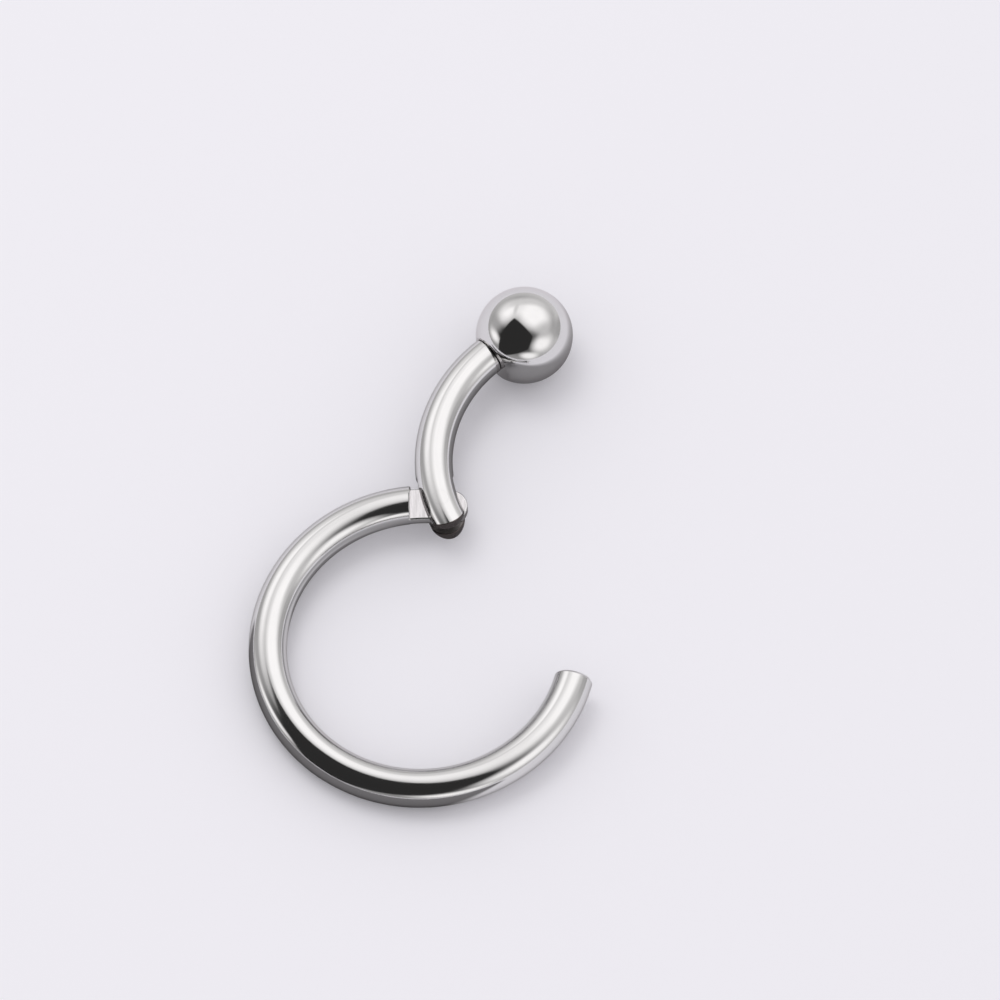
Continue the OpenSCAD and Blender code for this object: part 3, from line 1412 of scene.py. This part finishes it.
    def tent(self) -> Object:
        """Raises the light tent, a dome that only the steel's reflections see.

        Returns:
            The tent.
        """
        bm = bmesh.new()
        bmesh.ops.create_uvsphere(bm, u_segments=96, v_segments=48, radius=self.tent_r * MM)
        low = [v for v in bm.verts if v.co.z < -WELD * MM]
        bmesh.ops.delete(bm, geom=low, context="VERTS")
        bmesh.ops.reverse_faces(bm, faces=bm.faces)
        cloth, nodes = new_material("tent_cloth")
        place = nodes.add("ShaderNodeTexCoord").outputs["Object"]
        toward = nodes.vector("NORMALIZE", place).outputs[0]
        glow = nodes.add("ShaderNodeVectorMath", {"operation": "SCALE"}, {
            0: self.cloth_colour, "Scale": self._glow(nodes, toward)})
        nodes.surface("ShaderNodeEmission", {"Color": glow.outputs[0], "Strength": 1.0})
        return self._stage("light_tent", bm, cloth, only_mirrored=True)

    def _glow(self, nodes: Nodes, toward: bpy.types.NodeSocket) -> Value:
        """The tent's brightness by direction.

        Args:
            nodes: The tree to build in.
            toward: The direction from the object.

        Returns:
            The brightness.
        """
        right, up, _ = self._axes()
        level, overhead, rightward, upward = self.glow
        height = nodes.dot(toward, (0.0, 0.0, 1.0))
        sideways = nodes.dot(toward, rightward * right + upward * up)
        glow = level + overhead * height.fade(0.0, 0.6) + sideways
        for card in self.cards:
            middle = self._toward(card.right, card.up)
            across = unit(np.cross(up, middle))
            rise = np.cross(middle, across)
            c, s = cos_sin(card.turn)
            facing = nodes.dot(toward, middle)
            x = nodes.dot(toward, c * across + s * rise) / math.tan(math.radians(card.width))
            y = nodes.dot(toward, c * rise - s * across) / math.tan(math.radians(card.height))
            # A card shows only on its own side of the tent, where facing is above 0
            reach = (x * x + y * y).sqrt() / facing.at_least(0.02)
            share = reach.fade(self.card_end, card.soft) * facing.fade(0.0, 0.1)
            glow = glow + (card.level - glow) * share
        corners = [self._toward(*corner) for corner in self.opening]
        inside: Value | None = None
        for a, b in zip(corners, corners[1:] + corners[:1]):
            side = nodes.dot(toward, unit(np.cross(b, a))).fade(*self.opening_edge)
            inside = side if inside is None else inside * side
        return glow + (self.dark - glow) * inside

    def floor(self) -> Object:
        """Lays the pale floor."""
        return self._disk("floor", self.floor_r, 0.0, lambda nodes: (*self.floor_colour, 1.0))

    def mat(self) -> Object:
        """Lays a pale mat with soft patches of painted shade, which only the steel's reflections see.

        Returns:
            The mat.
        """

        def colour(nodes: Nodes) -> bpy.types.NodeSocket:
            """The floor's colour, which turns dark in the patches of painted shade.

            Args:
                nodes: The tree of the mat's material.

            Returns:
                The socket that carries it.
            """
            place = nodes.add("ShaderNodeTexCoord").outputs["Object"]
            shade: Value | float = 0.0
            for patch in self.patches:
                c, s = cos_sin(patch.turn)
                x, y = patch.middle
                along = (nodes.dot(place, (c, s, 0.0)) / MM - (c * x + s * y)) / patch.length
                across = (nodes.dot(place, (-s, c, 0.0)) / MM - (c * y - s * x)) / patch.width
                reach = (along * along + across * across).sqrt()
                # Each patch adds painted shade, which the steel reflects
                shade = (patch.depth * reach.fade(2.0 - patch.soft, patch.soft)).at_least(shade)
            mixed = nodes.add("ShaderNodeMix", {"data_type": "RGBA"}, {
                "Factor": shade, "A": (*self.floor_colour, 1.0), "B": (*self.patch_colour, 1.0)})
            return mixed.outputs["Result"]

        return self._disk("mat", self.mat_r, self.mat_height, colour, only_mirrored=True)

    def _disk(self, name: str, radius: float, height: float, colour: Callable[[Nodes], object],
              only_mirrored: bool = False) -> Object:
        """Lays a flat matt disk.

        Args:
            name: Its name.
            radius: Its radius, in millimetres.
            height: Its height above the floor, in millimetres.
            colour: Gives its colour, or the socket that carries it.
            only_mirrored: Whether only the steel's reflections see it.

        Returns:
            The disk.
        """
        bm = bmesh.new()
        bmesh.ops.create_circle(bm, cap_ends=True, segments=96, radius=radius * MM)
        bmesh.ops.translate(bm, verts=bm.verts, vec=(0.0, 0.0, height * MM))
        material, nodes = new_material(f"pale_{name}")
        nodes.surface("ShaderNodeBsdfPrincipled", {
            "Base Color": colour(nodes), "Roughness": 0.9, "Specular IOR Level": 0.1})
        return self._stage(name, bm, material, only_mirrored)

    def camera(self, ring: Ring) -> Object:
        """Sets up the camera.

        Args:
            ring: The ring, whose centre the camera's place is measured from.

        Returns:
            The camera's object.
        """
        right, up, back = self._axes()
        _, centre = ring.resting()
        x, y, z = self.hoop_in_view
        data = bpy.data.cameras.new("camera")
        data.lens, data.sensor_width = self.lens, self.sensor
        data.clip_start, data.clip_end = (distance * MM for distance in self.clip)
        camera = new_object("camera", data)
        camera.location = Vector((centre - (x * right + y * up + z * back)) * MM)
        camera.rotation_euler = Euler((math.radians(90 - self.elevation), 0.0, 0.0))
        bpy.context.scene.camera = camera
        return camera


def mount(piece: Object, body: Body, node: str) -> None:
    """Puts a finished piece on its body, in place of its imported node.

    Args:
        piece: The piece.
        body: The body that it rides on.
        node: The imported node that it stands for.
    """
    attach(piece, body.value)
    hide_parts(node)
    log.info("%s: %d faces, in place of %s", piece.name, len(piece.data.polygons), node)


def main() -> None:
    """Builds the pieces, the studio and the camera."""
    logging.basicConfig(level=logging.INFO, format="%(name)s: %(message)s")
    ring = Ring()
    wire_steel = PolishedSteel().make()
    ball_steel = PolishedSteel(
        name="polished_ball_steel", lengthwise=False, mark_depth=2e-7, roughness=0.06, haze=0.03,
        limb_tint=(0.86, 0.84, 0.84)).make()
    pin_steel = PolishedSteel(name="polished_pin_steel").make()
    tongue_steel = GroundSteel().make()
    # Painted shade: the slot's steel is darker than the tongue's, so the slot and the bores read as
    # shaded.
    slot_painted_shade_steel = GroundSteel(name="slot_painted_shade_ground_steel", colour=(0.45, 0.43, 0.42), roughness=0.34).make()
    # Painted shade: the fork's round end and its rims are near black, as if in shade.
    fork_end_painted_shade = GroundSteel(name="fork_end_painted_shade_steel", colour=(0.14, 0.12, 0.115), roughness=0.3).make()
    mount(Hoop(ring).build(wire_steel, tongue_steel), Body.HOOP, "hoop")
    mount(Arm(ring).build(wire_steel, slot_painted_shade_steel, fork_end_painted_shade), Body.ARM, "arm")
    mount(Ball(ring).build(ball_steel), Body.ARM, "ball")
    mount(HingePin(ring).build(pin_steel), Body.ARM, "hinge_pin")
    studio = Studio()
    studio.light()
    studio.tent()
    studio.floor()
    studio.mat()
    studio.camera(ring)
    bpy.context.scene.view_settings.view_transform = "Standard"
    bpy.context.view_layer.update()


if __name__ == "__main__":
    main()
